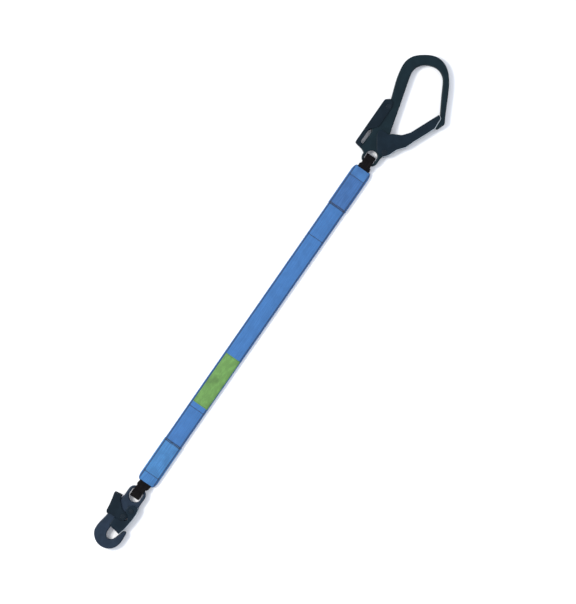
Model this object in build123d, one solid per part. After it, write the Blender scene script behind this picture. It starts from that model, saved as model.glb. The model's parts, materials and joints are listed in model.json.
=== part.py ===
from build123d import *
from math import cos, radians, tan
import os

# A shock absorbing lanyard laid out flat: a large scaffold hook, a strap with its energy absorber
# inside a woven jacket, and a small snap hook. Millimetres, +Z up, the strap along +X towards the
# large hook, and the origin under the middle of the object on the surface it lies on.

# Strap
strap_length = 690.0        # from one jacket tip to the other
jacket_width = 35.2
jacket_thick = 7.0
jacket_wall = 1.5
tip_radius = 10.0           # rounded corners of the strap's two tips
sleeve_ply = 0.8            # end sleeve sewn round each tip
core_side_gap = 1.3         # core's side to the jacket's inner wall
tear_core_thick = 2.1
backup_web_thick = 1.6
ply_gap = 0.1               # between plies that lie on each other
tongue_thick = 3.8          # the two legs of a load loop inside the jacket
core_gap = 2.0              # from a tongue's end to the core's end
thread_height = 0.5
thread_width = 1.4
thread_inset = 2.2          # from a cross seam's end to the strap's edge

# Seams across the strap, measured from the small hook's tip and from the large hook's tip
small_seams = (19.8, 89.1, 162.0)
large_seams = (21.6, 85.5, 152.1)

# Data label, near the small hook's end
label_start = 172.0
label_length = 105.0
label_side_gap = 1.5        # label's long side to the jacket's edge
label_thick = 0.4

# Load loops
small_loop_side_gap = 2.2   # loop to the eye's inner wall, each side, clear of its inside corners
large_loop_side_gap = 1.5
loop_web = 1.8              # webbing of the loop
wear_pad_thick = 0.8
wear_pad_back = 3.0         # how far the wear pad reaches back past the middle of the eye bar
legs_part = 3.6             # strap tip to where the loop's two legs part
legs_part_gap = 0.3         # width of the wedge between them there
bar_gap = 0.35              # wear pad to the eye bar as the bar turns in it
small_loop_reach = 14.0     # strap tip to the middle of the eye bar
large_loop_reach = 12.6
small_loop_bight = 18.0     # middle of the eye bar to the far end of the loop, which lies slack
large_loop_bight = 14.4
bight_room = 1.2            # radius left free inside the wear pad at that end

# Running and riveting fits
side_gap = 0.3              # sheet flange to the face beside it
pin_running_fit = 0.05
pin_seat_fit = 0.02
head_gap = 0.05             # rivet head to the flange under it
fold_share = 0.6            # rounding of pressed sheet, as a share of its thickness
head_round_share = 0.6      # rounding of a rivet head's rim, as a share of its height
floor_gap = 0.0             # lowest rivet head to the surface the lanyard lies on
tool_reach = 200.0          # cutting tools run past every pressed piece

# Large hook
large_plate = 10.0
large_edge_round = 2.1
large_bar = 5.4             # eye bar, along the hook
large_eye_half = 10.6       # half the eye's inner width
large_eye_wall = 5.0
large_eye_corner = 3.4      # inside corners beside the eye bar
large_eye_shoulder = 10.4   # outside corners beside the eye bar
large_sheet = 1.8           # gate and lever sheet
large_gate_pin = 3.0
large_lever_pin = 2.5
large_head = 4.6
large_head_height = 1.15
large_boss_wall = 5.0       # body round the gate's rivet
large_gate_pivot = (31.5, -15.1)
large_lever_pivot = (104.0, 25.5)

# Small hook
small_plate = 8.0
small_edge_round = 2.1
small_bar = 5.2
small_eye_half = 11.6
small_eye_wall = 5.6
small_eye_corner = 4.0
small_eye_shoulder = 11.8
small_sheet = 1.6
small_gate_pin = 2.5
small_lever_pin = 2.5
small_head = 4.2
small_head_height = 1.15
small_gate_pivot = (41.0, 10.0)
small_lever_pivot = (56.2, 2.7)

# Torsion springs round the rivets, each in a pocket of the hook's body
spring_wire = 0.9
spring_turns = 2.0
spring_pitch = 1.0
spring_pin_gap = 0.35       # coil to the rivet
pocket_gap = 0.3            # coil to the pocket's wall
spring_leg = 6.0
leg_slot_gap = 0.35
spring_top_gap = 0.1        # coil to the body's face
spring_low_gap = 0.4        # coil to the pocket's floor, which the sloping leg reaches towards

# Heights and positions that follow from the sizes above
sleeve_thick = jacket_thick + 2 * sleeve_ply
strap_mid = sleeve_thick / 2
cavity_thick = jacket_thick - 2 * jacket_wall
cavity_width = jacket_width - 2 * jacket_wall
lining = wear_pad_thick + ply_gap / 2
core_width = cavity_width - 2 * core_side_gap
label_width = jacket_width - 2 * label_side_gap
small_mid = small_plate / 2 + 2 * (side_gap + small_sheet) + head_gap + small_head_height + floor_gap
large_mid = large_plate / 2 + side_gap + large_sheet + head_gap + large_head_height + floor_gap
small_eye_x = -small_loop_reach
large_eye_x = strap_length + large_loop_reach
small_loop_width = 2 * (small_eye_half - small_loop_side_gap)
large_loop_width = 2 * (large_eye_half - large_loop_side_gap)


# ---------------------------------------------------------------- helpers

def rounded_run(corners):
    """Straight lines through corners given as (x, y, radius), each rounded corner a tangent arc."""
    edges = []
    here = Vector(*corners[0][:2])
    for before, corner, after in zip(corners, corners[1:], corners[2:]):
        point = Vector(*corner[:2])
        arriving = (point - Vector(*before[:2])).normalized()
        leaving = (Vector(*after[:2]) - point).normalized()
        half_turn = radians(arriving.get_angle(leaving) / 2)
        radius = corner[2]
        start = point - arriving * radius * tan(half_turn)
        edges.append(Line(here, start))
        here = start
        if radius > 0:
            end = point + leaving * radius * tan(half_turn)
            middle = point + (leaving - arriving).normalized() * radius * (1 / cos(half_turn) - 1)
            edges.append(ThreePointArc(start, middle, end))
            here = end
    edges.append(Line(here, Vector(*corners[-1][:2])))
    return edges


def corner_plate(corners):
    """A flat face from corners given as (x, y, corner radius)."""
    first, last = corners[0], corners[-1]
    join = ((first[0] + last[0]) / 2, (first[1] + last[1]) / 2, 0)
    return make_face(rounded_run([join, *corners, join]))


def slab(face, low, high):
    """The face made solid between two heights."""
    return Pos(0, 0, low) * extrude(face, high - low)


def pin_hole(spot, radius, length):
    """A tool that drills a hole through everything at a spot."""
    return Pos(spot[0], spot[1], 0) * Cylinder(radius, length)


def eye_bar_reach(plate, bar, edge):
    """How far the rounded eye bar reaches from its middle as it turns."""
    corner = ((plate / 2 - edge) ** 2 + (bar / 2 - edge) ** 2) ** 0.5
    return corner + edge


# ---------------------------------------------------------------- hook bodies

def eye_hole(bar, half, corner):
    """Inside of a webbing eye: a straight edge at the bar and a round far end."""
    straight = corner_plate([
        (bar / 2, -half, corner), (bar / 2 + half, -half, 0),
        (bar / 2 + half, half, 0), (bar / 2, half, corner),
    ])
    return straight + Pos(bar / 2 + half, 0) * Circle(half)


def eye_shoulders(bar, side, shoulder):
    """Corners of the two shoulders at an eye's bar, from -Y round to +Y."""
    return [(-bar / 2, -side, shoulder), (-bar / 2, side, shoulder)]


def large_body_outline():
    """Scaffold hook: eye, base and foot, long spine, wide bowl, arm and nose."""
    gate_x, gate_y = large_gate_pivot
    boss = large_gate_pin + large_boss_wall
    side = large_eye_half + large_eye_wall
    back = Spline(
        (124.0, 32.2), (150.3, 41.4), (172.0, 46.6), (190.0, 47.0), (204.3, 40.7),
        (217.6, 25.8), (226.2, 9.0), (226.4, -8.5), (215.6, -27.5), (188.0, -47.4), (145.0, -69.9),
        tangents=((27.5, 9.6), (-40.0, -22.0)),
    )
    inside = Spline(
        (150.0, -55.6), (168.3, -44.8), (188.0, -33.8), (202.0, -24.4), (209.4, -9.5),
        (207.6, 4.5), (199.0, 19.0), (184.0, 26.2), (164.0, 23.2), (140.0, 16.4), (114.3, 9.1),
        tangents=((18.3, 10.8), (-48.3, -13.3)),
    )
    nose = rounded_run([
        (145.0, -69.9, 0), (135.0, -75.4, 6), (119.0, -69.6, 3.2), (121.0, -61.6, 3.2),
        (140.2, -61.4, 3), (150.0, -55.6, 0),
    ])
    base = rounded_run([
        (114.3, 9.1, 0), (66.0, -4.2, 4), (gate_x + boss, gate_y - 1.5, 5), (gate_x + 2, gate_y - boss, 6),
        (20.0, -side, 8), *eye_shoulders(large_bar, side, large_eye_shoulder), (11.0, side, 3),
        (14.4, 22.7, 6), (15.2, 29.3, 2.8), (22.3, 29.3, 2.8), (23.4, 25.2, 1.0), (49.5, 25.2, 4),
        (57.0, 31.6, 5), (119.0, 30.4, 8), (124.0, 32.2, 0),
    ])
    return make_face([back, *nose, inside, *base])


def small_body_outline():
    """Snap hook: eye, boss for both rivets, spine, bowl and a short nose."""
    side = small_eye_half + small_eye_wall
    back = Spline(
        (68.0, -22.8), (82.0, -24.8), (97.0, -26.6), (108.5, -24.4), (117.6, -16.8), (123.2, -5.0),
        (122.8, 6.5), (116.6, 18.2), (106.0, 25.0), (94.0, 26.6), (84.0, 25.9),
        tangents=((24.0, -1.8), (-10.0, -1.0)),
    )
    inside = Spline(
        (90.4, 14.8), (97.4, 12.6), (102.6, 9.2), (105.0, 3.4), (102.4, -2.2), (96.0, -4.9), (89.0, -5.0),
        tangents=((2.0, -0.6), (-1.0, 0.0)),
    )
    nose = rounded_run([(84.0, 25.9, 0), (75.6, 25.0, 2.8), (78.6, 18.4, 2.8), (90.4, 14.8, 0)])
    base = rounded_run([
        (89.0, -5.0, 0), (84.0, -5.0, 3), (80.0, -7.0, 3), (64.0, -7.0, 2), (62.4, 4.0, 6), (50.0, 15.0, 8),
        (39.0, 18.8, 8), (24.0, side, 8), *reversed(eye_shoulders(small_bar, side, small_eye_shoulder)),
        (24.0, -side, 8), (44.0, -21.0, 8), (68.0, -22.8, 0),
    ])
    return make_face([back, *nose, inside, *base])


def spring_radius(pin):
    """Middle of the spring's wire, from the rivet's axis."""
    return pin + spring_pin_gap + spring_wire / 2


def spring_pocket(pin, plate, heading):
    """A tool that cuts a spring's round pocket, with a slot for its fixed leg, into the top face."""
    depth = spring_turns * spring_pitch + spring_wire + spring_top_gap + spring_low_gap
    radius = spring_radius(pin) + spring_wire / 2 + pocket_gap
    slot_width = spring_wire + 2 * leg_slot_gap
    round_part = Pos(0, 0, plate / 2 - depth / 2) * Cylinder(radius, depth)
    slot_length = spring_leg + 2 * leg_slot_gap
    slot = Box(slot_length, slot_width, depth)
    slot = Pos(slot_length / 2, spring_radius(pin), plate / 2 - depth / 2) * slot
    return Rot(0, 0, heading) * (round_part + slot)


def hook_body(outline, hole, plate, edge, pins):
    """A forged hook body with rounded edges, its rivet holes and its spring pockets."""
    body = extrude(outline - hole, plate / 2, both=True)
    rims = body.edges().filter_by(Plane.XY)
    body = fillet(rims, edge)
    for spot, pin, heading in pins:
        body -= pin_hole(spot, pin + pin_seat_fit, plate * 2)
        body -= Pos(spot[0], spot[1], 0) * spring_pocket(pin, plate, heading)
    return body


def torsion_spring(pin, plate, heading):
    """A coil round a rivet, with one straight leg that lies in the pocket's slot."""
    radius = spring_radius(pin)
    height = spring_turns * spring_pitch
    coil = Helix(spring_pitch, height, radius)
    section = Plane(origin=coil @ 0, z_dir=coil % 0) * Circle(spring_wire / 2)
    wire = sweep(section, path=coil)
    leg = extrude(section, -spring_leg)
    low = plate / 2 - height - spring_wire / 2 - spring_top_gap
    turned = Rot(0, 0, heading + 90) * (wire + leg)
    return Pos(0, 0, low) * turned


def rivet(pin, half_length, head, head_height):
    """A rivet with a low domed head at each end, on its own axis."""
    shank = Cylinder(pin, 2 * half_length)
    top = Pos(0, 0, half_length + head_height / 2) * Cylinder(head, head_height)
    low = Pos(0, 0, -half_length - head_height / 2) * Cylinder(head, head_height)
    rims = top.edges().group_by(Axis.Z)[-1]
    top = fillet(rims, head_height * head_round_share)
    low = fillet(low.edges().group_by(Axis.Z)[0], head_height * head_round_share)
    return shank + top + low


# ---------------------------------------------------------------- gates and levers

def inset_run(points, distance):
    """A run of points moved to its left by a distance, with its turns kept."""
    spots = [Vector(*point) for point in points]
    headings = [(after - before).normalized() for before, after in zip(spots, spots[1:])]
    sides = [heading.rotate(Axis.Z, 90) for heading in headings]
    sides = [sides[0], *sides, sides[-1]]
    moved = []
    for spot, left, right in zip(spots, sides, sides[1:]):
        moved.append(spot + (left + right) * (distance / (1 + left.dot(right))))
    return [(spot.X, spot.Y) for spot in moved]


def channel(corners, web_run, inner_half, sheet, pivot, pin):
    """Two sheet flanges of one outline, joined by a web along part of the outline's edge.

    web_run follows the outline's edge with the flanges on its left.
    """
    whole = extrude(corner_plate(corners), inner_half + sheet, both=True)
    whole = fillet(whole.edges().filter_by(Plane.XY), sheet * fold_share)
    inside = inset_run(web_run, sheet)
    ahead = tool_reach if web_run[-1][0] > web_run[0][0] else -tool_reach
    open_part = make_face(Polyline(
        (inside[0][0], -ahead), *inside, (inside[-1][0], -ahead), (ahead * 2, -ahead),
        (ahead * 2, ahead), (-ahead * 2, ahead), (-ahead * 2, -ahead), close=True))
    whole -= extrude(open_part, inner_half, both=True)
    return whole - pin_hole(pivot, pin + pin_running_fit, 4 * inner_half)


def large_gate():
    """Long gate: a channel with its web outwards, and flanges that take in the base and the nose."""
    edge = [(36.0, -26.6), (48.0, -31.6), (60.6, -42.0), (78.3, -48.6), (96.3, -56.5), (114.0, -63.9)]
    corners = [
        (22.5, -18.0, 5), (26.0, -2.0, 6), (49.5, 14.2, 5), (62.4, 16.0, 5), (63.0, -3.0, 2.5),
        (67.6, -8.6, 4), (75.6, -23.4, 8), (88.0, -33.2, 8), (144.0, -57.2, 2.5), (140.6, -64.4, 5),
        (118.0, -65.6, 4),
        *[(x, y, 0) for x, y in reversed(edge[2:5])], (edge[1][0], edge[1][1], 4), (31.5, -25.0, 8),
    ]
    return channel(corners, edge, large_plate / 2 + side_gap, large_sheet, large_gate_pivot, large_gate_pin)


def large_lever():
    """Lock lever: a channel over the back of the spine, with a narrow tail that ends at the foot."""
    back_y = 38.9
    corners = [
        (17.6, back_y, 3), (111.0, back_y, 6), (117.0, 31.4, 4), (115.4, 23.6, 5), (105.0, 19.6, 8),
        (87.0, 19.8, 8), (68.4, 19.4, 3), (61.6, 21.2, 3), (54.6, 28.0, 4), (49.0, 31.4, 3),
        (23.4, 31.4, 1.6), (22.8, 26.0, 2), (15.2, 26.6, 2.5),
    ]
    edge = [(111.0, back_y), (17.6, back_y)]
    return channel(corners, edge, large_plate / 2 + side_gap, large_sheet, large_lever_pivot, large_lever_pin)


def small_gate():
    """Short gate: a channel with its web outwards, its flanges relieved round the lever's rivet."""
    edge = [(71.5, 18.9), (62.0, 20.2), (50.8, 21.2), (40.0, 21.1), (34.0, 20.4)]
    tip_x = 83.2
    corners = [
        (28.6, 18.8, 4), *[(x, y, 0) for x, y in reversed(edge[1:])], (76.0, 18.4, 4),
        (tip_x + 4.4, 15.2, 1.5),
        (tip_x + 2.8, 9.0, 0), (tip_x, -8.6, 1.5), (67.0, -8.2, 2), (61.8, 1.0, 2), (61.4, 10.4, 2), (57.4, 12.8, 2),
        (53.0, 10.8, 2), (51.0, 4.8, 2), (44.0, 0.6, 4), (35.4, 1.2, 5), (29.4, 7.0, 5),
    ]
    return channel(corners, edge, small_plate / 2 + side_gap, small_sheet, small_gate_pivot, small_gate_pin)


def small_lever():
    """Lock lever of the snap hook: broad flanges outside the gate's, webbed along the hook's back."""
    edge = [(28.2, -34.8), (41.8, -31.4), (52.0, -29.4), (62.0, -28.0)]
    corners = [
        (28.2, -34.8, 1.4), (41.8, -31.4, 0), (52.0, -29.4, 0), (63.6, -27.8, 4), (68.6, -24.6, 3),
        (65.2, -20.0, 3), (65.2, 3.0, 6), (60.0, 10.4, 6), (50.4, 9.2, 5), (46.6, -5.6, 6),
        (35.0, -18.6, 6), (26.0, -20.4, 2.5),
    ]
    inner_half = small_plate / 2 + 2 * side_gap + small_sheet
    return channel(corners, edge, inner_half, small_sheet, small_lever_pivot, small_lever_pin)


# ---------------------------------------------------------------- strap

def strap_plan(start, end, width, radius):
    """Plan of a strap layer with rounded corners at both tips."""
    half = width / 2
    return corner_plate([
        (start, -half, radius), (end, -half, radius), (end, half, radius), (start, half, radius),
    ])


def jacket():
    """Woven tubular jacket, pressed flat, open at both ends for the load loops."""
    low = strap_mid - jacket_thick / 2
    plan = strap_plan(sleeve_ply, strap_length - sleeve_ply, jacket_width, tip_radius)
    outer = slab(plan, low, low + jacket_thick)
    outer = fillet(outer.edges().filter_by(Plane.XY), jacket_wall * 0.7)
    cavity = Pos(strap_length / 2, 0, strap_mid) * Box(strap_length + 2, cavity_width, cavity_thick)
    return outer - cavity


def end_sleeve(length, slot_width):
    """Short webbing sleeve round one tip, with a slot in its end for the load loop."""
    width = jacket_width + 2 * sleeve_ply
    half = width / 2
    plan = corner_plate([
        (0, -half, tip_radius), (length, -half, 0), (length, half, 0), (0, half, tip_radius),
    ])
    shell = slab(plan, 0, sleeve_thick)
    shell = fillet(shell.edges().filter_by(Axis.X), sleeve_ply * 2)
    room = ply_gap / 2
    inside_half = jacket_width / 2 + room
    inside = corner_plate([
        (sleeve_ply - room, -inside_half, tip_radius), (length + 1, -inside_half, 0),
        (length + 1, inside_half, 0), (sleeve_ply - room, inside_half, tip_radius),
    ])
    low = sleeve_ply - room
    cavity = slab(inside, low, sleeve_thick - low)
    cavity = fillet(cavity.edges().filter_by(Axis.X), jacket_wall * 0.5)
    slot = Pos(0, 0, strap_mid) * Box(2 * tip_radius, slot_width + 2 * ply_gap, tongue_thick + 2 * ply_gap)
    return shell - cavity - slot


def loop_hull(reach, bight, mid, bar_radius, outset, back_half):
    """Outline, in the XZ plane, of webbing that runs from the strap round the eye bar and past it.

    outset is the webbing's distance from the free room inside the wear pad.
    """
    far_middle = reach + bight - bight_room - lining - loop_web
    bar_side = Pos(reach, mid) * Circle(bar_radius + bar_gap + outset)
    far_side = Pos(far_middle, mid) * Circle(bight_room + outset)
    back = 0 if back_half == tongue_thick / 2 else legs_part
    strap_side = Pos(back + legs_part_gap / 2, strap_mid) * Rectangle(legs_part_gap, 2 * back_half)
    return make_hull(bar_side.edges() + far_side.edges() + strap_side.edges())


def across(face, width):
    """A face drawn as X and Z, made solid across the strap."""
    return extrude(Plane.XZ * face, width / 2, both=True)


def load_loop(reach, bight, mid, bar_radius, width, tongue_length):
    """Webbing loop round an eye bar, whose two legs run into the jacket as a tongue."""
    outline = loop_hull(reach, bight, mid, bar_radius, lining + loop_web, tongue_thick / 2)
    hollow = loop_hull(reach, bight, mid, bar_radius, lining, legs_part_gap / 2)
    tongue = Pos(-tongue_length / 2, strap_mid) * Rectangle(tongue_length, tongue_thick)
    return across(outline - hollow + tongue, width)


def wear_pad(reach, bight, mid, bar_radius, width):
    """Lining of a load loop from above the eye bar, round the loop's far end, to below the bar."""
    outline = loop_hull(reach, bight, mid, bar_radius, wear_pad_thick, legs_part_gap / 2)
    room = loop_hull(reach, bight, mid, bar_radius, 0, legs_part_gap / 2)
    back_cut = Pos(-wear_pad_back, mid) * Rectangle(2 * reach, 4 * reach)
    return across(outline - room - back_cut, width)


def cross_seams(spots):
    """Rows of thread across the strap, each a low bar on the layer it is sewn through."""
    length = jacket_width - 2 * thread_inset
    rows = []
    for x, low in spots:
        bar = Pos(x, 0, low + thread_height / 2) * Box(thread_width, length, thread_height)
        rows.append(fillet(bar.edges().group_by(Axis.Z)[-1], thread_height * 0.4))
    return Compound(children=rows)


def label():
    """Data label sewn on the jacket."""
    top = strap_mid + jacket_thick / 2 + ply_gap / 2
    patch = Box(label_length, label_width, label_thick)
    patch = Pos(label_start + label_length / 2, 0, top + label_thick / 2) * patch
    return fillet(patch.edges().filter_by(Axis.Z), 2.0)


def label_stitching():
    """Thread round the label's four sides."""
    top = strap_mid + jacket_thick / 2 + ply_gap / 2 + label_thick
    inset = 1.6
    length = label_length - 2 * inset
    width = label_width - 2 * inset
    middle = Pos(label_start + label_length / 2, 0)
    ring = Rectangle(length, width) - Rectangle(length - thread_width, width - thread_width)
    return slab(middle * ring, top, top + thread_height / 2)


# ---------------------------------------------------------------- assembly

def strap_parts():
    """Every piece of the strap, with X measured from the small hook's tip."""
    small_sleeve = small_seams[1]
    large_sleeve = large_seams[1]
    small_tongue = small_seams[2]
    large_tongue = large_seams[2]
    core_start = small_tongue + core_gap
    core_end = strap_length - large_tongue - core_gap
    core_low = strap_mid - cavity_thick / 2 + ply_gap
    web_low = core_low + tear_core_thick + ply_gap
    core_plan = strap_plan(core_start, core_end, core_width, 1.0)
    small_reach = eye_bar_reach(small_plate, small_bar, small_edge_round)
    large_reach = eye_bar_reach(large_plate, large_bar, large_edge_round)
    small_way = (small_loop_reach, small_loop_bight, small_mid, small_reach)
    large_way = (large_loop_reach, large_loop_bight, large_mid, large_reach)
    at_large = Pos(strap_length, 0, 0)
    at_small = Rot(0, 0, 180)
    on_sleeve = sleeve_thick
    on_jacket = strap_mid + jacket_thick / 2
    step_gap = thread_width / 2 + ply_gap
    return {
        "absorber_jacket": jacket(),
        "tear_core": slab(core_plan, core_low, core_low + tear_core_thick),
        "backup_web": slab(core_plan, web_low, web_low + backup_web_thick),
        "small_end_sleeve": end_sleeve(small_sleeve, small_loop_width),
        "large_end_sleeve": at_large * (Rot(0, 0, 180) * end_sleeve(large_sleeve, large_loop_width)),
        "small_load_loop": at_small * load_loop(*small_way, small_loop_width, small_tongue),
        "large_load_loop": at_large * load_loop(*large_way, large_loop_width, large_tongue),
        "small_wear_pad": at_small * wear_pad(*small_way, small_loop_width),
        "large_wear_pad": at_large * wear_pad(*large_way, large_loop_width),
        "small_end_stitching": cross_seams([
            (small_seams[0], on_sleeve), (small_seams[1] - step_gap, on_sleeve),
            (small_seams[2], on_jacket)]),
        "large_end_stitching": cross_seams([
            (strap_length - large_seams[0], on_sleeve), (strap_length - large_seams[1] + step_gap, on_sleeve),
            (strap_length - large_seams[2], on_jacket)]),
        "data_label": label(),
        "label_stitching": label_stitching(),
    }


def large_hook_parts():
    """The scaffold hook in its own frame: the eye bar's middle at the origin, the bowl towards +X."""
    half = large_plate / 2 + side_gap + large_sheet + head_gap
    hole = eye_hole(large_bar, large_eye_half, large_eye_corner)
    pins = [(large_gate_pivot, large_gate_pin, 20), (large_lever_pivot, large_lever_pin, 160)]
    gate_spot = Pos(large_gate_pivot[0], large_gate_pivot[1], 0)
    lever_spot = Pos(large_lever_pivot[0], large_lever_pivot[1], 0)
    return {
        "large_hook_body": hook_body(large_body_outline(), hole, large_plate, large_edge_round, pins),
        "large_gate": large_gate(),
        "large_gate_rivet": gate_spot * rivet(large_gate_pin, half, large_head, large_head_height),
        "large_gate_spring": gate_spot * torsion_spring(large_gate_pin, large_plate, 20),
        "large_lock_lever": large_lever(),
        "large_lever_rivet": lever_spot * rivet(large_lever_pin, half, large_head, large_head_height),
        "large_lever_spring": lever_spot * torsion_spring(large_lever_pin, large_plate, 160),
    }


def small_hook_parts():
    """The snap hook in its own frame, laid out as the large one."""
    gate_half = small_plate / 2 + side_gap + small_sheet + head_gap
    lever_half = small_plate / 2 + 2 * (side_gap + small_sheet) + head_gap
    hole = eye_hole(small_bar, small_eye_half, small_eye_corner)
    pins = [(small_gate_pivot, small_gate_pin, 200), (small_lever_pivot, small_lever_pin, 250)]
    gate_spot = Pos(small_gate_pivot[0], small_gate_pivot[1], 0)
    lever_spot = Pos(small_lever_pivot[0], small_lever_pivot[1], 0)
    return {
        "small_hook_body": hook_body(small_body_outline(), hole, small_plate, small_edge_round, pins),
        "small_gate": small_gate(),
        "small_gate_rivet": gate_spot * rivet(small_gate_pin, gate_half, small_head, small_head_height),
        "small_gate_spring": gate_spot * torsion_spring(small_gate_pin, small_plate, 200),
        "small_lock_lever": small_lever(),
        "small_lever_rivet": lever_spot * rivet(small_lever_pin, lever_half, small_head, small_head_height),
        "small_lever_spring": lever_spot * torsion_spring(small_lever_pin, small_plate, 250),
    }


def lanyard():
    """All pieces in one frame, moved so that the origin is under the middle of the two hooks' box."""
    hooks = {name: Pos(large_eye_x, 0, large_mid) * piece for name, piece in large_hook_parts().items()}
    for name, piece in small_hook_parts().items():
        hooks[name] = Pos(small_eye_x, 0, small_mid) * (Rot(0, 0, 180) * piece)
    boxes = [piece.bounding_box() for piece in hooks.values()]
    middle_x = (min(box.min.X for box in boxes) + max(box.max.X for box in boxes)) / 2
    middle_y = (min(box.min.Y for box in boxes) + max(box.max.Y for box in boxes)) / 2
    parts = {**strap_parts(), **hooks}
    return {name: Pos(-middle_x, -middle_y, 0) * piece for name, piece in parts.items()}


def main():
    os.makedirs("parts", exist_ok=True)
    for name, piece in lanyard().items():
        export_step(piece, f"parts/{name}.step")


main()
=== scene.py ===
"""Shock absorbing lanyard: a webbing strap round an energy absorber, a scaffold hook and a snap hook.

The rigid pieces come from the loaded frame and get their finishes here. The strap, its sleeves,
loops, label and thread are built here as cloth pieces. Lengths are millimetres in the settings and
in the mesh functions, and metres in the finished meshes. X runs along the strap to the large hook.
"""

import json
import math

import bmesh
import bpy
from bpy.props import FloatProperty, FloatVectorProperty, IntProperty, PointerProperty
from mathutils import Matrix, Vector

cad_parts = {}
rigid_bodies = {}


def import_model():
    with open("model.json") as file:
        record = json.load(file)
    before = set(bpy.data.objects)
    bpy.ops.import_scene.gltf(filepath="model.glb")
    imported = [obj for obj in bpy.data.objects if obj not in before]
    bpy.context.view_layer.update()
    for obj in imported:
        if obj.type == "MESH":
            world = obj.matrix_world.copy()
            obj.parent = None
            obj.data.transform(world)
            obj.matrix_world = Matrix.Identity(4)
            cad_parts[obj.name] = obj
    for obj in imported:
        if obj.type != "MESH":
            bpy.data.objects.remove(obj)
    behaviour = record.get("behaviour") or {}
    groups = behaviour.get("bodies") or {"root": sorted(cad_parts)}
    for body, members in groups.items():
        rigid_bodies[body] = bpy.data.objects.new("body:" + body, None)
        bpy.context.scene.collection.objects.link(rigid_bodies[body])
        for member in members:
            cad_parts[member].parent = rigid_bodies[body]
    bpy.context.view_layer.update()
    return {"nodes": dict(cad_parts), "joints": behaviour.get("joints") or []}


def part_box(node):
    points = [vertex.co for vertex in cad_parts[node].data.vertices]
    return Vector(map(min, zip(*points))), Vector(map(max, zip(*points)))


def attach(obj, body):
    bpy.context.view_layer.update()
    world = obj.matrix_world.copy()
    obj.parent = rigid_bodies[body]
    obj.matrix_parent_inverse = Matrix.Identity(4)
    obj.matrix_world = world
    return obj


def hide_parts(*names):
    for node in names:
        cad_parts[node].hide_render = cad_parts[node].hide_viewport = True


bl_info = {
    "name": "Shock absorbing lanyard",
    "version": (1, 0, 0),
    "blender": (4, 5, 0),
    "location": "3D View > Sidebar > Lanyard",
    "description": "Builds the cloth pieces of a fall arrest lanyard and finishes its hooks",
    "category": "Add Mesh",
}

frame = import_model()

MM = 0.001

# ---------------------------------------------------------------- places read from the frame

SMALL_TIP_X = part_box("small_end_sleeve")[0].x / MM
LARGE_TIP_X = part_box("large_end_sleeve")[1].x / MM
STRAP_Y = (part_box("absorber_jacket")[0].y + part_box("absorber_jacket")[1].y) / 2 / MM
STRAP_HALF = (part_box("absorber_jacket")[1].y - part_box("absorber_jacket")[0].y) / 2 / MM
JACKET_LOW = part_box("absorber_jacket")[0].z / MM
JACKET_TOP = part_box("absorber_jacket")[1].z / MM
STRAP_MID = (JACKET_LOW + JACKET_TOP) / 2
STRAP_LENGTH = LARGE_TIP_X - SMALL_TIP_X
BARS = {joint["child"]: [value / MM for value in joint["pos_m"]]
        for joint in frame["joints"] if joint["parent"] == "strap"}


# ---------------------------------------------------------------- settings

def length(name, description, default, low=0.0, high=1000.0):
    """A size in metres that the sidebar shows as a distance."""
    return FloatProperty(name=name, description=description, default=default * MM, min=low, max=high,
                         unit="LENGTH", subtype="DISTANCE", precision=5)


def linear(hex_colour):
    """An sRGB hex colour as linear red, green, blue and alpha."""
    channels = [int(hex_colour[i:i + 2], 16) / 255 for i in (0, 2, 4)]
    return [c / 12.92 if c <= 0.04045 else ((c + 0.055) / 1.055) ** 2.4 for c in channels] + [1.0]


def colour(name, description, default):
    """A finish colour, given as sRGB hex."""
    return FloatVectorProperty(name=name, description=description, default=linear(default), size=4,
                               min=0.0, max=1.0, subtype="COLOR")


class StrapSettings(bpy.types.PropertyGroup):
    """Sizes and colours of the cloth pieces."""
    jacket_wall: length("Jacket wall", "Thickness of the woven jacket", 1.1)
    sleeve_ply: length("Sleeve ply", "Thickness of the sleeve sewn round each tip", 0.8)
    mouth_half: length("Mouth half width", "Half the width of the opening that a load loop leaves by", 12.3)
    tip_taper: length("Tip taper", "Length over which a tip narrows to its mouth", 13.0)
    edge_round: FloatProperty(name="Edge roundness", description="Higher is a squarer edge on the strap",
                              default=3.6, min=2.0, max=8.0)
    seam_pinch: FloatProperty(name="Seam pinch", description="Share of the thickness that a seam pulls in",
                              default=0.16, min=0.0, max=0.5, subtype="FACTOR")
    loop_web: length("Loop webbing", "Thickness of the load loops' webbing", 1.8)
    bight_radius: length("Slack end radius", "Outer radius of a load loop's far end", 3.85)
    pad_web: length("Pad webbing", "Thickness of the wear pads' webbing", 0.8)
    loop_tip_width: length("Loop width at the tip", "Width of a load loop where it leaves the strap", 23.6)
    label_thick: length("Label thickness", "Thickness of the data label", 0.4)
    yarn_pitch: length("Yarn pitch", "Distance between the webbing's lengthwise ribs", 1.15)
    blue: colour("Strap blue", "Dyed polyester of the jacket", "35669E")
    small_sleeve_blue: colour("Small sleeve blue", "Sleeve at the snap hook's end", "396FA2")
    small_cap_blue: colour("Small cap blue", "That sleeve beyond its outermost seam", "316198")
    large_sleeve_blue: colour("Large sleeve blue", "Sleeve at the scaffold hook's end", "325C91")
    large_cap_blue: colour("Large cap blue", "That sleeve beyond its outermost seam", "3D6FA5")
    edge_blue: colour("Edge blue", "Darker yarn along the strap's edges", "1C3C63")
    black: colour("Loop black", "Dyed polyester of the load loops", "050305")
    green: colour("Label green", "Printed cloth of the data label", "557E3D")
    undyed: colour("Undyed", "Natural polyester of the absorber's core", "D8D2BF")


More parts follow.
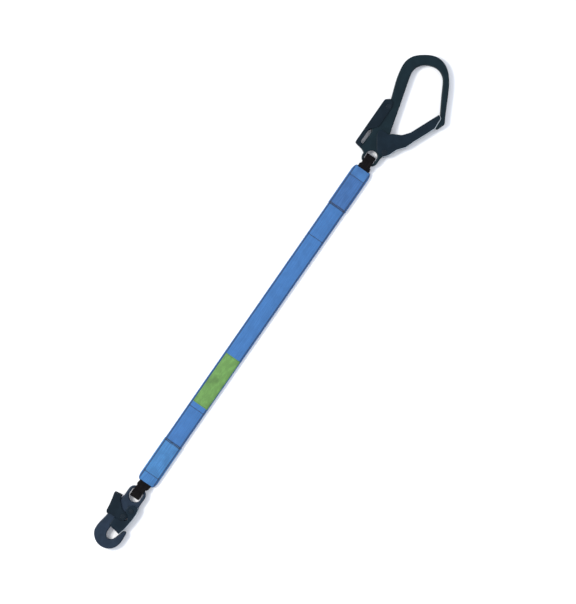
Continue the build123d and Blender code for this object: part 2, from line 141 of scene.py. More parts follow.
class ThreadSettings(bpy.types.PropertyGroup):
    """Sizes and colours of the sewing thread."""
    stitch_pitch: length("Stitch pitch", "Distance from one stitch to the next", 3.4)
    stitch_length: length("Stitch length", "Length of thread that shows in a stitch", 3.0)
    thread_width: length("Thread width", "Width of the bonded sewing thread", 1.15)
    row_gap: length("Row gap", "Distance between the rows of one seam", 1.5)
    edge_inset: length("Edge inset", "Distance from the strap's edge to its edge seam", 3.1)
    seed: IntProperty(name="Seed", description="Seed of the stitches' small differences", default=7, min=0)
    navy: colour("Seam thread", "Thread of the cross seams and edge seams", "0C2340")
    quilting: colour("Quilting thread", "Thread of the lengthwise rows", "2A558D")
    label_thread: colour("Label thread", "Thread round the label", "3B6126")


class HookSettings(bpy.types.PropertyGroup):
    """Colours and wear of the hooks."""
    large_coating: colour("Scaffold hook coating", "Dark phosphate coat of its forged body", "0A1B22")
    small_coating: colour("Snap hook coating", "Bluer coat of its forged body", "1A2634")
    gate_coating: colour("Gate coating", "Coat of the pressed gates", "0C1A24")
    lever_coating: colour("Lever coating", "Coat of the lock levers", "0A1720")
    rivet_coating: colour("Rivet coating", "Coat of the rivets' heads", "121C24")
    # This colour is also the painted highlight along the gates' folds, and the wear reach also sets that
    # highlight's width.
    bare_steel: colour("Bare steel", "Steel that shows where the coat has worn", "B8C2C9")
    wear_reach: length("Wear reach", "How far wear reaches from an edge", 0.9)
    wear: FloatProperty(name="Wear", description="How much of the edges is worn", default=0.5, min=0.0,
                        max=1.0, subtype="FACTOR")


class StageSettings(bpy.types.PropertyGroup):
    """Floor, lights and camera."""
    floor: colour("Floor", "Matt paper under the lanyard", "F4F5F7")
    view_height: FloatProperty(name="View height", description="Height of the floor that the camera sees",
                               default=1.0872, min=0.1, unit="LENGTH")
    view_centre: FloatVectorProperty(name="View centre", description="Point in the middle of the view",
                                     default=(0.0189, -0.0128, 0.008), size=3, subtype="TRANSLATION")
    turn: FloatProperty(name="Turn", description="Turn of the camera about the vertical",
                        default=math.radians(-55.17), unit="ROTATION", subtype="ANGLE")
    lens: FloatProperty(name="Lens", description="Focal length in millimetres", default=100.0, min=10.0)
    key_power: FloatProperty(name="Key power", description="Power of the large soft light", default=62.0,
                             min=0.0, unit="POWER")
    fill_power: FloatProperty(name="Fill power", description="Power of the fill light", default=6.0,
                              min=0.0, unit="POWER")
    sky: FloatProperty(name="Sky", description="Strength of the even light from all round", default=0.95,
                       min=0.0)


# ---------------------------------------------------------------- node and mesh helpers

MATH, MIX, RANGE = "ShaderNodeMath", "ShaderNodeMix", "ShaderNodeMapRange"
ADD, SUBTRACT, MULTIPLY, DIVIDE, MULTIPLY_ADD, MAXIMUM, ABSOLUTE, FLOOR, SINE = (
    {"operation": name} for name in ("ADD", "SUBTRACT", "MULTIPLY", "DIVIDE", "MULTIPLY_ADD", "MAXIMUM",
                                     "ABSOLUTE", "FLOOR", "SINE"))
COLOURS = {"data_type": "RGBA"}
SMOOTH = {"interpolation_type": "SMOOTHSTEP"}
DOT = {"operation": "DOT_PRODUCT"}


def set_inputs(tree, node, *inputs, **links):
    """Sets a node's inputs, by place or by name, to plain values or to what feeds them."""
    named = {int(key[1:]) if key[0] == "i" and key[1:].isdigit() else key.replace("_", " "): value
             for key, value in links.items()}
    for key, value in {**dict(enumerate(inputs)), **named}.items():
        if isinstance(value, bpy.types.Node):
            value = value.outputs[0]
        if isinstance(value, bpy.types.NodeSocket):
            tree.links.new(value, node.inputs[key])
        else:
            node.inputs[key].default_value = value


def add_node(tree, kind, settings=None, *inputs, **links):
    """Adds a node with its settings, and its inputs as set_inputs takes them."""
    node = tree.nodes.new(kind)
    for name, value in (settings or {}).items():
        setattr(node, name, value)
    set_inputs(tree, node, *inputs, **links)
    return node


def shade(base, times, plus=0.0):
    """A linear colour made lighter or darker."""
    return [min(1.0, value * times + plus) for value in base[:3]] + [1]


def new_material(name):
    """An empty node material, its tree, its shader and its output."""
    material = bpy.data.materials.new(name)
    material.use_nodes = True
    tree = material.node_tree
    tree.nodes.clear()
    shader = add_node(tree, "ShaderNodeBsdfPrincipled")
    output = add_node(tree, "ShaderNodeOutputMaterial")
    tree.links.new(shader.outputs[0], output.inputs[0])
    return material, tree, shader


def mesh_piece(name, points, faces, material, uvs=None, smooth=True):
    """A mesh object from points in millimetres, with its normals outward and its place in its mesh."""
    mesh = bpy.data.meshes.new(name)
    mesh.from_pydata([Vector(point) * MM for point in points], [], faces)
    if uvs:
        layer = mesh.uv_layers.new(name="weave")
        for loop in mesh.loops:
            layer.data[loop.index].uv = [value * MM for value in uvs[loop.vertex_index]]
    work = bmesh.new()
    work.from_mesh(mesh)
    bmesh.ops.recalc_face_normals(work, faces=work.faces)
    work.to_mesh(mesh)
    work.free()
    mesh.polygons.foreach_set("use_smooth", [smooth] * len(mesh.polygons))
    if material:
        mesh.materials.append(material)
    piece = bpy.data.objects.new(name, mesh)
    bpy.context.scene.collection.objects.link(piece)
    return piece


def ring_shell(rings, closed_run):
    """Faces between rings of equal size. A closed run also joins the last ring to the first."""
    count = len(rings[0])
    points = [point for ring in rings for point in ring]
    faces = []
    pairs = len(rings) if closed_run else len(rings) - 1
    for row in range(pairs):
        here, there = row * count, (row + 1) % len(rings) * count
        for i in range(count):
            j = (i + 1) % count
            faces.append((here + i, here + j, there + j, there + i))
    if not closed_run:
        faces.append(tuple(reversed(range(count))))
        faces.append(tuple(range((len(rings) - 1) * count, len(rings) * count)))
    return points, faces


def run_of(start, end, step):
    """Evenly spaced values from start to end, about a step apart."""
    count = max(1, round(abs(end - start) / step))
    return [start + (end - start) * i / count for i in range(count + 1)]


# ---------------------------------------------------------------- route and shape of the strap

# Control points along the strap: from the small hook's tip, across it, and height over its own middle.
ROUTE = [(0, -2.2, 0), (60, -1.9, 0), (172, -1.6, 0), (345, -1.4, 0), (520, -1.3, 0), (620, -1.2, 0),
         (690, -1.0, 0)]
SMALL_SEAMS = (19.8, 89.1, 162.0)
LARGE_SEAMS = (668.4, 604.5, 537.9)
SEAMS = SMALL_SEAMS + LARGE_SEAMS
QUILT_ROWS = (-9.6, -4.8, 0.0, 4.8, 9.6)
PINCH_REACH = 3.2
TIP_FLAT = 14.0
LABEL = (172.0, 277.0, -16.1, 13.9)


def spline_points():
    """Points along the strap's route, read from its spline, in millimetres."""
    curve = bpy.data.curves.new("strap_route", "CURVE")
    curve.dimensions = "3D"
    spline = curve.splines.new("NURBS")
    spline.points.add(len(ROUTE) - 1)
    for point, (x, y, z) in zip(spline.points, ROUTE):
        point.co = (SMALL_TIP_X + x, STRAP_Y + y, STRAP_MID + z, 1)
    spline.order_u = 3
    spline.use_endpoint_u = True
    spline.resolution_u = 16
    holder = bpy.data.objects.new("strap_route", curve)
    bpy.context.scene.collection.objects.link(holder)
    bpy.context.view_layer.update()
    mesh = bpy.data.meshes.new_from_object(holder)
    points = [tuple(vertex.co) for vertex in mesh.vertices]
    bpy.data.objects.remove(holder)
    bpy.data.meshes.remove(mesh)
    bpy.data.curves.remove(curve)
    return points


ROUTE_LINE = spline_points()


def route_y(x):
    """The strap's middle across the model, at a distance from the small hook's tip."""
    here = SMALL_TIP_X + x
    for before, after in zip(ROUTE_LINE, ROUTE_LINE[1:]):
        if here <= after[0]:
            share = max(0.0, (here - before[0]) / max(after[0] - before[0], 1e-6))
            return before[1] + (after[1] - before[1]) * share
    return ROUTE_LINE[-1][1]


def wave(x, y):
    """A slow, repeatable unevenness of cloth, from -1 to 1."""
    return (math.sin(x * 0.061 + 1.3) * 0.5 + math.sin(x * 0.137 + y * 0.21) * 0.3
            + math.sin(x * 0.029 - y * 0.33 + 2.1) * 0.2)


def pinch(x, strap):
    """How much thickness is left beside the seams, as a share."""
    left = 1.0
    for seam in SEAMS:
        distance = (x - seam) / PINCH_REACH
        left -= strap.seam_pinch * math.exp(-distance * distance)
    return left


def tip_half(x, half, strap):
    """Half the strap's width at a distance from the small hook's tip, narrowed at both tips."""
    mouth, taper = strap.mouth_half / MM, strap.tip_taper / MM
    inward = min(x, STRAP_LENGTH - x)
    if inward >= taper:
        return half
    rest = 1 - max(0.0, inward) / taper
    return mouth + (half - mouth) * math.sqrt(max(0.0, 1 - rest * rest))


def tip_thick(x, thick):
    """The strap's thickness, flattened towards a tip."""
    inward = max(0.0, min(x, STRAP_LENGTH - x))
    share = min(1.0, inward / TIP_FLAT)
    return thick * (0.66 + 0.34 * math.sin(share * math.pi / 2))


def surface(x, across, half, thick, strap):
    """Height over the strap's middle of its outer face, at a share from -1 to 1 across it."""
    power = strap.edge_round
    edge = max(0.0, 1 - abs(across) ** power) ** (1 / power)
    crown = 1 + 0.035 * wave(x, across * half)
    return thick / 2 * edge * crown


def strap_ring(x, half, thick, strap, count, shrink=0.0):
    """One closed section of the strap: its top from +Y to -Y, then its underside back."""
    wide = tip_half(x, half, strap) - shrink
    deep = tip_thick(x, thick) * pinch(x, strap) - 2 * shrink
    middle = route_y(x)
    ring = []
    for i in range(count):
        turn = 2 * math.pi * (i + 0.5) / count
        side, rise = math.cos(turn), math.sin(turn)
        share = math.copysign(abs(side) ** 0.62, side)
        height = surface(x, share, wide, deep, strap)
        ring.append((SMALL_TIP_X + x, middle + share * wide, STRAP_MID + math.copysign(height, rise)))
    return ring


def top_height(x, y, strap, lift):
    """Height of the strap's or a sleeve's upper face, at a distance y from its middle."""
    half, thick = STRAP_HALF, JACKET_TOP - JACKET_LOW
    if x < SMALL_SEAMS[1] or x > LARGE_SEAMS[1]:
        half += strap.sleeve_ply / MM
        thick += 2 * strap.sleeve_ply / MM
    wide = tip_half(x, half, strap)
    deep = tip_thick(x, thick) * pinch(x, strap)
    across = min(1.0, abs(y) / wide) * math.copysign(1, y or 1)
    return STRAP_MID + surface(x, across, wide, deep, strap) + lift


def planar_uvs(points):
    """Distance along and across the strap for each point."""
    return [(x - SMALL_TIP_X, y - route_y(x - SMALL_TIP_X)) for x, y, _ in points]


# ---------------------------------------------------------------- materials

def weave_height(tree, pitch):
    """Plain weave from the piece's own UV map: ribs along it, with picks that pass over and under."""
    place = add_node(tree, "ShaderNodeUVMap", {"uv_map": "weave"})
    parts = add_node(tree, "ShaderNodeSeparateXYZ", i0=place)
    across = add_node(tree, MATH, DIVIDE, parts.outputs[1], pitch)
    along = add_node(tree, MATH, DIVIDE, parts.outputs[0], pitch * 2.2)
    column = add_node(tree, MATH, FLOOR, across)
    shifted = add_node(tree, MATH, ADD, along, add_node(tree, MATH, MULTIPLY, column, 0.5))
    over = add_node(tree, MATH, SINE, add_node(tree, MATH, MULTIPLY, shifted, 2 * math.pi))
    rib = add_node(tree, MATH, ABSOLUTE,
                   add_node(tree, MATH, SINE, add_node(tree, MATH, MULTIPLY, across, math.pi)))
    height = add_node(tree, MATH, MULTIPLY, rib, add_node(tree, MATH, MULTIPLY_ADD, over, 0.25, 0.75))
    return place, parts, height


def webbing(name, base, edge, edge_from, pitch, roughness=0.78, sheen=0.12, streaks=0.5, gloss=0.3, cap=None):
    """Woven polyester webbing: matt, ribbed along its length, with a soft sheen, uneven dye and painted shade
    between its ribs.

    cap gives another dye beyond one seam: its colour, where the seam is, and which way it lies.
    """
    material, tree, shader = new_material(name)
    place, parts, height = weave_height(tree, pitch)
    dye = base
    if cap:
        cap_colour, seam, way = cap
        beyond = add_node(tree, RANGE, SMOOTH,
                          add_node(tree, MATH, MULTIPLY,
                                   add_node(tree, MATH, SUBTRACT, parts.outputs[0], seam * MM), way),
                          -1.5 * MM, 1.5 * MM)
        dye = add_node(tree, MIX, COLOURS, beyond, i6=base, i7=cap_colour).outputs[2]
    streak_place = add_node(tree, "ShaderNodeMapping", Vector=place, Scale=(30.0, 620.0, 1.0))
    streak = add_node(tree, "ShaderNodeTexNoise", Vector=streak_place, Scale=1.0, Detail=3.0)
    blotch = add_node(tree, "ShaderNodeTexNoise", Vector=place, Scale=55.0, Detail=2.0)
    light = add_node(tree, MIX, COLOURS,
                     add_node(tree, MATH, MULTIPLY,
                              add_node(tree, RANGE, SMOOTH, streak, 0.35, 0.7), streaks),
                     i6=dye, i7=shade(base, 1.32, 0.01)).outputs[2]
    uneven = add_node(tree, MIX, COLOURS,
                      add_node(tree, MATH, MULTIPLY, add_node(tree, RANGE, SMOOTH, blotch, 0.4, 0.7),
                               streaks * 0.6), i6=light, i7=shade(base, 0.74)).outputs[2]
    # Painted shade: where the weave is low, between its ribs, the colour is darkened.
    painted_groove_shade = add_node(tree, MIX, COLOURS,
                       add_node(tree, MATH, MULTIPLY_ADD, add_node(tree, RANGE, SMOOTH, height, 0.0, 0.7),
                                -0.42, 0.42), i6=uneven, i7=shade(base, 0.38)).outputs[2]
    aside = add_node(tree, MATH, SUBTRACT, add_node(tree, MATH, ABSOLUTE, parts.outputs[1]), edge_from * MM)
    side = add_node(tree, RANGE, SMOOTH, add_node(tree, MATH, ABSOLUTE, aside), 1.5 * MM, 0.8 * MM)
    final = add_node(tree, MIX, COLOURS, add_node(tree, MATH, MULTIPLY, side, 0.92), i6=painted_groove_shade,
                     i7=edge).outputs[2]
    bump = add_node(tree, "ShaderNodeBump", Strength=0.9, Distance=0.25 * MM, Height=height)
    rough = add_node(tree, MATH, MULTIPLY_ADD, streak, 0.12, roughness - 0.06)
    set_inputs(tree, shader, Base_Color=final, Roughness=rough, Normal=bump,
               Sheen_Weight=sheen, Sheen_Roughness=0.5, Specular_IOR_Level=gloss)
    return material


def printed_cloth(name, base, pitch):
    """Coated label cloth: finer weave, a print that has rubbed thin, painted shade between its ribs, and a
    low satin gloss.
    """
    material, tree, shader = new_material(name)
    place, _, height = weave_height(tree, pitch)
    rubbed_place = add_node(tree, "ShaderNodeMapping", Vector=place, Scale=(75.0, 190.0, 1.0))
    rubbed = add_node(tree, "ShaderNodeTexNoise", Vector=rubbed_place, Scale=1.0, Detail=4.0,
                      Roughness=0.6)
    soil = add_node(tree, "ShaderNodeTexNoise", Vector=place, Scale=38.0, Detail=2.0)
    light = add_node(tree, MIX, COLOURS, add_node(tree, RANGE, SMOOTH, rubbed, 0.45, 0.62), i6=base,
                     i7=shade(base, 1.25)).outputs[2]
    dark = add_node(tree, MIX, COLOURS,
                    add_node(tree, MATH, MULTIPLY, add_node(tree, RANGE, SMOOTH, soil, 0.5, 0.68), 0.55),
                    i6=light, i7=shade(base, 0.5)).outputs[2]
    # Painted shade: where the weave is low, between its ribs, the colour is darkened.
    painted_groove_shade = add_node(tree, MIX, COLOURS,
                       add_node(tree, MATH, MULTIPLY_ADD, add_node(tree, RANGE, SMOOTH, height, 0.0, 0.7),
                                -0.2, 0.2), i6=dark, i7=shade(base, 0.45)).outputs[2]
    bump = add_node(tree, "ShaderNodeBump", Strength=0.5, Distance=0.1 * MM, Height=height)
    set_inputs(tree, shader, Base_Color=painted_groove_shade, Roughness=0.62, Normal=bump,
               Sheen_Weight=0.1, Specular_IOR_Level=0.4)
    return material


def thread(name, base):
    """Bonded polyester sewing thread: twisted plies under a thin glossy bond."""
    material, tree, shader = new_material(name)
    place = add_node(tree, "ShaderNodeTexCoord").outputs["Object"]
    twist_place = add_node(tree, "ShaderNodeMapping", Vector=place, Rotation=(0, 0, 0.7))
    # Ply twist at 0.5 mm, about twice the real lay, so that it shows.
    twist = add_node(tree, "ShaderNodeTexWave", {"wave_type": "BANDS"}, Vector=twist_place,
                     Scale=1 / (0.5 * MM) / 20, Distortion=0.4).outputs[1]
    dye = add_node(tree, "ShaderNodeTexNoise", Vector=place, Scale=400.0)
    tone = add_node(tree, MIX, COLOURS, add_node(tree, MATH, MULTIPLY, dye, 0.6), i6=base,
                    i7=shade(base, 0.6)).outputs[2]
    bump = add_node(tree, "ShaderNodeBump", Strength=0.5, Distance=0.1 * MM, Height=twist)
    set_inputs(tree, shader, Base_Color=tone, Roughness=0.5, Normal=bump, Sheen_Weight=0.15)
    return material


def coated_steel(name, coat, bare, grain_mm, grain_depth_mm, roughness, hooks, mottle=0.5, highlight_side=None):
    """Steel under a thin dark coat: a dull gloss, faint mottling, and bare metal along rubbed edges.

    The last argument is the direction that a fold faces where a painted highlight runs along it: bare-steel
    colour, partly metallic, broken up by rub noise.
    """
    material, tree, shader = new_material(name)
    place = add_node(tree, "ShaderNodeTexCoord").outputs["Object"]
    grain = add_node(tree, "ShaderNodeTexNoise", Vector=place, Scale=1 / (grain_mm * MM), Detail=3.0,
                     Roughness=0.6)
    cloud = add_node(tree, "ShaderNodeTexNoise", Vector=place, Scale=1 / (14 * MM), Detail=3.0)
    rubs = add_node(tree, "ShaderNodeTexNoise", Vector=place, Scale=1 / (2.4 * MM), Detail=4.0,
                    Roughness=0.7)
    soft = add_node(tree, "ShaderNodeBevel", {"samples": 4}, Radius=hooks.wear_reach)
    flat = add_node(tree, "ShaderNodeNewGeometry").outputs["Normal"]
    facing = add_node(tree, "ShaderNodeVectorMath", DOT, soft, flat).outputs[1]
    edge = add_node(tree, MATH, SUBTRACT, 1.0, facing)
    worn = add_node(tree, MATH, MULTIPLY, add_node(tree, RANGE, SMOOTH, edge, 0.012, 0.12),
                    add_node(tree, RANGE, SMOOTH, rubs, 0.66 - 0.3 * hooks.wear, 0.78))
    worn = add_node(tree, MATH, MULTIPLY, worn, hooks.wear)
    # Painted highlight: along folds that face the given side, the bare-steel colour is painted over the coat
    # and made partly metallic, broken up by rub noise. From here on the wear mask also carries this
    # highlight.
    if highlight_side:
        tilt = add_node(tree, "ShaderNodeVectorMath", DOT, soft, highlight_side).outputs[1]
        upright = add_node(tree, "ShaderNodeSeparateXYZ", i0=soft).outputs[2]
        fold = add_node(tree, MATH, MULTIPLY, add_node(tree, RANGE, SMOOTH, tilt, 0.03, 0.2),
                        add_node(tree, RANGE, SMOOTH, upright, 0.05, 0.3))
        worn = add_node(tree, MATH, MAXIMUM, worn,
                        add_node(tree, MATH, MULTIPLY, fold, add_node(tree, RANGE, SMOOTH, rubs, 0.2, 0.5)))
    mottled = add_node(tree, MIX, COLOURS,
                       add_node(tree, MATH, MULTIPLY,
                                add_node(tree, RANGE, SMOOTH, cloud, 0.35, 0.7), mottle),
                       i6=coat, i7=shade(coat, 1.5, 0.002)).outputs[2]
    speckled = add_node(tree, MIX, COLOURS,
                        add_node(tree, MATH, MULTIPLY, add_node(tree, RANGE, SMOOTH, grain, 0.5, 0.75), 0.35),
                        i6=mottled, i7=shade(coat, 0.55)).outputs[2]
    final = add_node(tree, MIX, COLOURS, worn, i6=speckled, i7=bare).outputs[2]
    rough = add_node(tree, MATH, MULTIPLY_ADD, grain, 0.16, roughness - 0.08)
    bump = add_node(tree, "ShaderNodeBump", Strength=0.5, Distance=grain_depth_mm * MM, Height=grain)
    set_inputs(tree, shader, Base_Color=final, Metallic=add_node(tree, MATH, MULTIPLY, worn, 0.7),
               Roughness=rough, Normal=bump, Specular_IOR_Level=0.12)
    return material


def turned_steel(name, base, roughness, band_mm):
    """Plain steel pin or wire: metal with fine drawing or turning lines."""
    material, tree, shader = new_material(name)
    place = add_node(tree, "ShaderNodeTexCoord").outputs["Object"]
    lines = add_node(tree, "ShaderNodeTexNoise", Vector=place, Scale=1 / (band_mm * MM), Detail=4.0)
    tone = add_node(tree, MIX, COLOURS, add_node(tree, RANGE, SMOOTH, lines, 0.3, 0.7), i6=base,
                    i7=shade(base, 0.6)).outputs[2]
    rough = add_node(tree, MATH, MULTIPLY_ADD, lines, 0.2, roughness - 0.1)
    bump = add_node(tree, "ShaderNodeBump", Strength=0.3, Distance=0.03 * MM, Height=lines)
    set_inputs(tree, shader, Base_Color=tone, Metallic=1.0, Roughness=rough, Normal=bump)
    return material


# ---------------------------------------------------------------- stitches

def stitch_tree():
    """Geometry nodes that sew a run of stitches along every line of a seam."""
    tree = bpy.data.node_groups.new("stitch_run", "GeometryNodeTree")
    sockets = tree.interface
    sockets.new_socket("Seam", in_out="INPUT", socket_type="NodeSocketGeometry")
    for name in ("Stitch Pitch", "Stitch Length", "Thread Width"):
        sockets.new_socket(name, in_out="INPUT", socket_type="NodeSocketFloat").subtype = "DISTANCE"
    sockets.new_socket("Seed", in_out="INPUT", socket_type="NodeSocketInt")
    sockets.new_socket("Thread", in_out="INPUT", socket_type="NodeSocketMaterial")
    sockets.new_socket("Stitches", in_out="OUTPUT", socket_type="NodeSocketGeometry")
    given = add_node(tree, "NodeGroupInput").outputs
    line = add_node(tree, "GeometryNodeMeshToCurve", Mesh=given["Seam"])
    spots = add_node(tree, "GeometryNodeResampleCurve", {"mode": "LENGTH"}, Curve=line,
                     Length=given["Stitch Pitch"])
    tangent = add_node(tree, "GeometryNodeInputTangent")
    turned = add_node(tree, "FunctionNodeAlignRotationToVector", {"axis": "X"}, Vector=tangent)
    bead = add_node(tree, "GeometryNodeMeshUVSphere", Segments=8, Rings=5, Radius=0.5)
    slim = add_node(tree, MATH, MULTIPLY, given["Thread Width"], 0.72)
    size = add_node(tree, "ShaderNodeCombineXYZ", None, given["Stitch Length"], given["Thread Width"], slim)
    uneven = add_node(tree, "FunctionNodeRandomValue", {"data_type": "FLOAT"}, i2=0.88, i3=1.08,
                      Seed=given["Seed"]).outputs[1]
    scaled = add_node(tree, "ShaderNodeVectorMath", {"operation": "SCALE"}, i0=size, Scale=uneven)
    placed = add_node(tree, "GeometryNodeInstanceOnPoints", Points=spots, Instance=bead, Rotation=turned,
                      Scale=scaled)
    real = add_node(tree, "GeometryNodeRealizeInstances", Geometry=placed)
    smooth = add_node(tree, "GeometryNodeSetShadeSmooth", Geometry=real)
    painted = add_node(tree, "GeometryNodeSetMaterial", Geometry=smooth, Material=given["Thread"])
    output = add_node(tree, "NodeGroupOutput")
    tree.links.new(painted.outputs[0], output.inputs[0])
    return tree


def sew(name, lines, material, threads, pitch=None, width=None):
    """A piece of stitches along lines of points in millimetres."""
    mesh = bpy.data.meshes.new(name + "_line")
    points, edges = [], []
    for line in lines:
        edges += [(len(points) + i, len(points) + i + 1) for i in range(len(line) - 1)]
        points += [Vector(point) * MM for point in line]
    mesh.from_pydata(points, edges, [])
    holder = bpy.data.objects.new(name + "_line", mesh)
    bpy.context.scene.collection.objects.link(holder)
    tree = bpy.data.node_groups.get("stitch_run") or stitch_tree()
    modifier = holder.modifiers.new("stitches", "NODES")
    modifier.node_group = tree
    keys = {item.name: item.identifier for item in tree.interface.items_tree if item.in_out == "INPUT"}
    modifier[keys["Stitch Pitch"]] = pitch or threads.stitch_pitch
    fill = threads.stitch_length / threads.stitch_pitch
    modifier[keys["Stitch Length"]] = (pitch or threads.stitch_pitch) * fill
    modifier[keys["Thread Width"]] = width or threads.thread_width
    modifier[keys["Seed"]] = threads.seed
    modifier[keys["Thread"]] = material
    bpy.context.view_layer.update()
    graph = bpy.context.evaluated_depsgraph_get()
    sewn = bpy.data.meshes.new_from_object(holder.evaluated_get(graph), preserve_all_data_layers=True,
                                           depsgraph=graph)
    sewn.name = name
    bpy.data.objects.remove(holder)
    bpy.data.meshes.remove(mesh)
    piece = bpy.data.objects.new(name, sewn)
    bpy.context.scene.collection.objects.link(piece)
    return piece


# ---------------------------------------------------------------- operators

def finish_piece(piece, slot, *nodes):
    """Rides a cloth piece on the strap and lets it stand for its CAD nodes."""
    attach(piece, "strap")
    if nodes:
        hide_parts(*nodes)
    return piece


SECTION = 56


class LANYARD_OT_jacket(bpy.types.Operator):
    """Builds the woven jacket that holds the energy absorber"""
    bl_idname = "lanyard.jacket"
    bl_label = "Jacket"

    def execute(self, context):
        strap = context.scene.lanyard_strap
        thick = JACKET_TOP - JACKET_LOW
        wall = strap.jacket_wall / MM
        spots = run_of(0.8, STRAP_LENGTH - 0.8, 2.2)
        outer = [strap_ring(x, STRAP_HALF, thick, strap, SECTION) for x in spots]
        inner = [strap_ring(x, STRAP_HALF, thick, strap, SECTION, wall) for x in reversed(spots)]
        points, faces = ring_shell(outer + inner, True)
        material = webbing("woven_polyester_jacket_webbing", list(strap.blue), list(strap.edge_blue),
                           STRAP_HALF - 2.2, strap.yarn_pitch)
        piece = mesh_piece("absorber_jacket_webbing", points, faces, material, planar_uvs(points))
        finish_piece(piece, "blue_webbing", "absorber_jacket")
        return {"FINISHED"}


class LANYARD_OT_sleeves(bpy.types.Operator):
    """Builds the sleeve sewn round each tip of the strap"""
    bl_idname = "lanyard.sleeves"
    bl_label = "End sleeves"

    def execute(self, context):
        strap = context.scene.lanyard_strap
        ply = strap.sleeve_ply / MM
        half = STRAP_HALF + ply
        thick = JACKET_TOP - JACKET_LOW + 2 * ply
        dyes = {"small": (strap.small_sleeve_blue, (list(strap.small_cap_blue), SMALL_SEAMS[0], -1)),
                "large": (strap.large_sleeve_blue, (list(strap.large_cap_blue), LARGE_SEAMS[0], 1))}
        ends = {"small": (0.0, SMALL_SEAMS[1]), "large": (STRAP_LENGTH, LARGE_SEAMS[1])}
        for side, (tip, end) in ends.items():
            dye, cap = dyes[side]
            material = webbing(f"woven_polyester_{side}_sleeve_webbing", list(dye), list(strap.edge_blue),
                               STRAP_HALF - 2.0, strap.yarn_pitch, streaks=0.8, cap=cap)
            spots = run_of(tip, end, 1.6)
            outer = [strap_ring(x, half, thick, strap, SECTION) for x in spots]
            inner = [strap_ring(x, half, thick, strap, SECTION, ply - 0.05) for x in reversed(spots)]
            points, faces = ring_shell(outer + inner, True)
            piece = mesh_piece(f"{side}_end_sleeve_webbing", points, faces, material, planar_uvs(points))
            finish_piece(piece, "blue_webbing", f"{side}_end_sleeve")
        return {"FINISHED"}


LEG_RISE = 0.98      # a leg's middle over or under the strap's, where the two leave it
LEGS_PART = 3.4      # how far inside the tip the legs part
FLARE_LENGTH = 2.4   # run over which a loop widens from the eye's width to the tip's
PAD_TURN = math.radians(112)


def bight_path(bar, far_x, radius, far_radius, way, top_turn, low_turn):
    """Points, as X and Z, over an eye bar, on to the slack far end, round it and back under the bar."""
    bar_x, bar_z = bar
    lean = math.acos((radius - far_radius) / abs(far_x - bar_x))
    stops = ([(bar_x, radius, turn) for turn in run_of(top_turn, lean, 0.12)]
             + [(far_x, far_radius, turn) for turn in run_of(lean, -lean, 0.15)]
             + [(bar_x, radius, turn) for turn in run_of(-lean, low_turn, 0.12)])
    return [(x + way * size * math.cos(turn), bar_z + size * math.sin(turn)) for x, size, turn in stops]


def band_path(bar, far_x, radius, far_radius, tip_x, inside):
    """Middle line of webbing, as X and Z, that leaves the strap, rounds an eye bar and returns."""
    bar_x, bar_z = bar
    way = 1 if bar_x > tip_x else -1
    part = abs(bar_x - tip_x) + LEGS_PART
    legs = []
    for sign in (1, -1):
        rise = STRAP_MID + sign * LEG_RISE - bar_z
        touch = math.atan2(rise, -part) - sign * math.acos(radius / math.hypot(part, rise))
        start = (tip_x - way * LEGS_PART, STRAP_MID + sign * LEG_RISE)
        contact = (bar_x + way * radius * math.cos(touch), bar_z + radius * math.sin(touch))
        straight = [(start[0] - way * inside * k / 6, start[1]) for k in range(6, 0, -1)]
        sloped = [(start[0] + (contact[0] - start[0]) * k / 8, start[1] + (contact[1] - start[1]) * k / 8)
                  for k in range(8)]
        legs.append((straight + sloped, touch))
    (top, top_turn), (low, low_turn) = legs
    if low_turn > top_turn:
        low_turn -= 2 * math.pi
    return top + bight_path(bar, far_x, radius, far_radius, way, top_turn, low_turn) + list(reversed(low))


BAND_FLAT = 0.88     # share of a band's half width that is flat
BAND_EDGE = 0.13     # and the share that its rounded edge takes


def band(name, path, half_at, thick, middle_at, material):
    """Flat webbing swept along a line of X and Z, with rounded edges and closed ends."""
    rings, uvs = [], []
    run = 0.0
    across = [1, 0.97, 0.88, 0.6, 0.3, 0, -0.3, -0.6, -0.88, -0.97, -1]
    for i, (x, z) in enumerate(path):
        before, after = path[max(0, i - 1)], path[min(len(path) - 1, i + 1)]
        heading = Vector((after[0] - before[0], 0, after[1] - before[1])).normalized()
        out = Vector((-heading.z, 0, heading.x))
        if i:
            run += math.hypot(x - path[i - 1][0], z - path[i - 1][1])
        half, middle = half_at(x), middle_at(x)
        ring = []
        for face in (1, -1):
            for share in across if face == 1 else reversed(across):
                past = max(0.0, abs(share) - BAND_FLAT)
                edge = math.sqrt(max(0.0, 1 - past ** 2 / BAND_EDGE ** 2))
                lift = face * thick / 2 * (0.25 + 0.75 * edge)
                ring.append(Vector((x, middle + share * half, z)) + out * lift)
                uvs.append((run, share * half))
        rings.append(ring)
    points, faces = ring_shell(rings, False)
    return mesh_piece(name, points, faces, material, uvs)


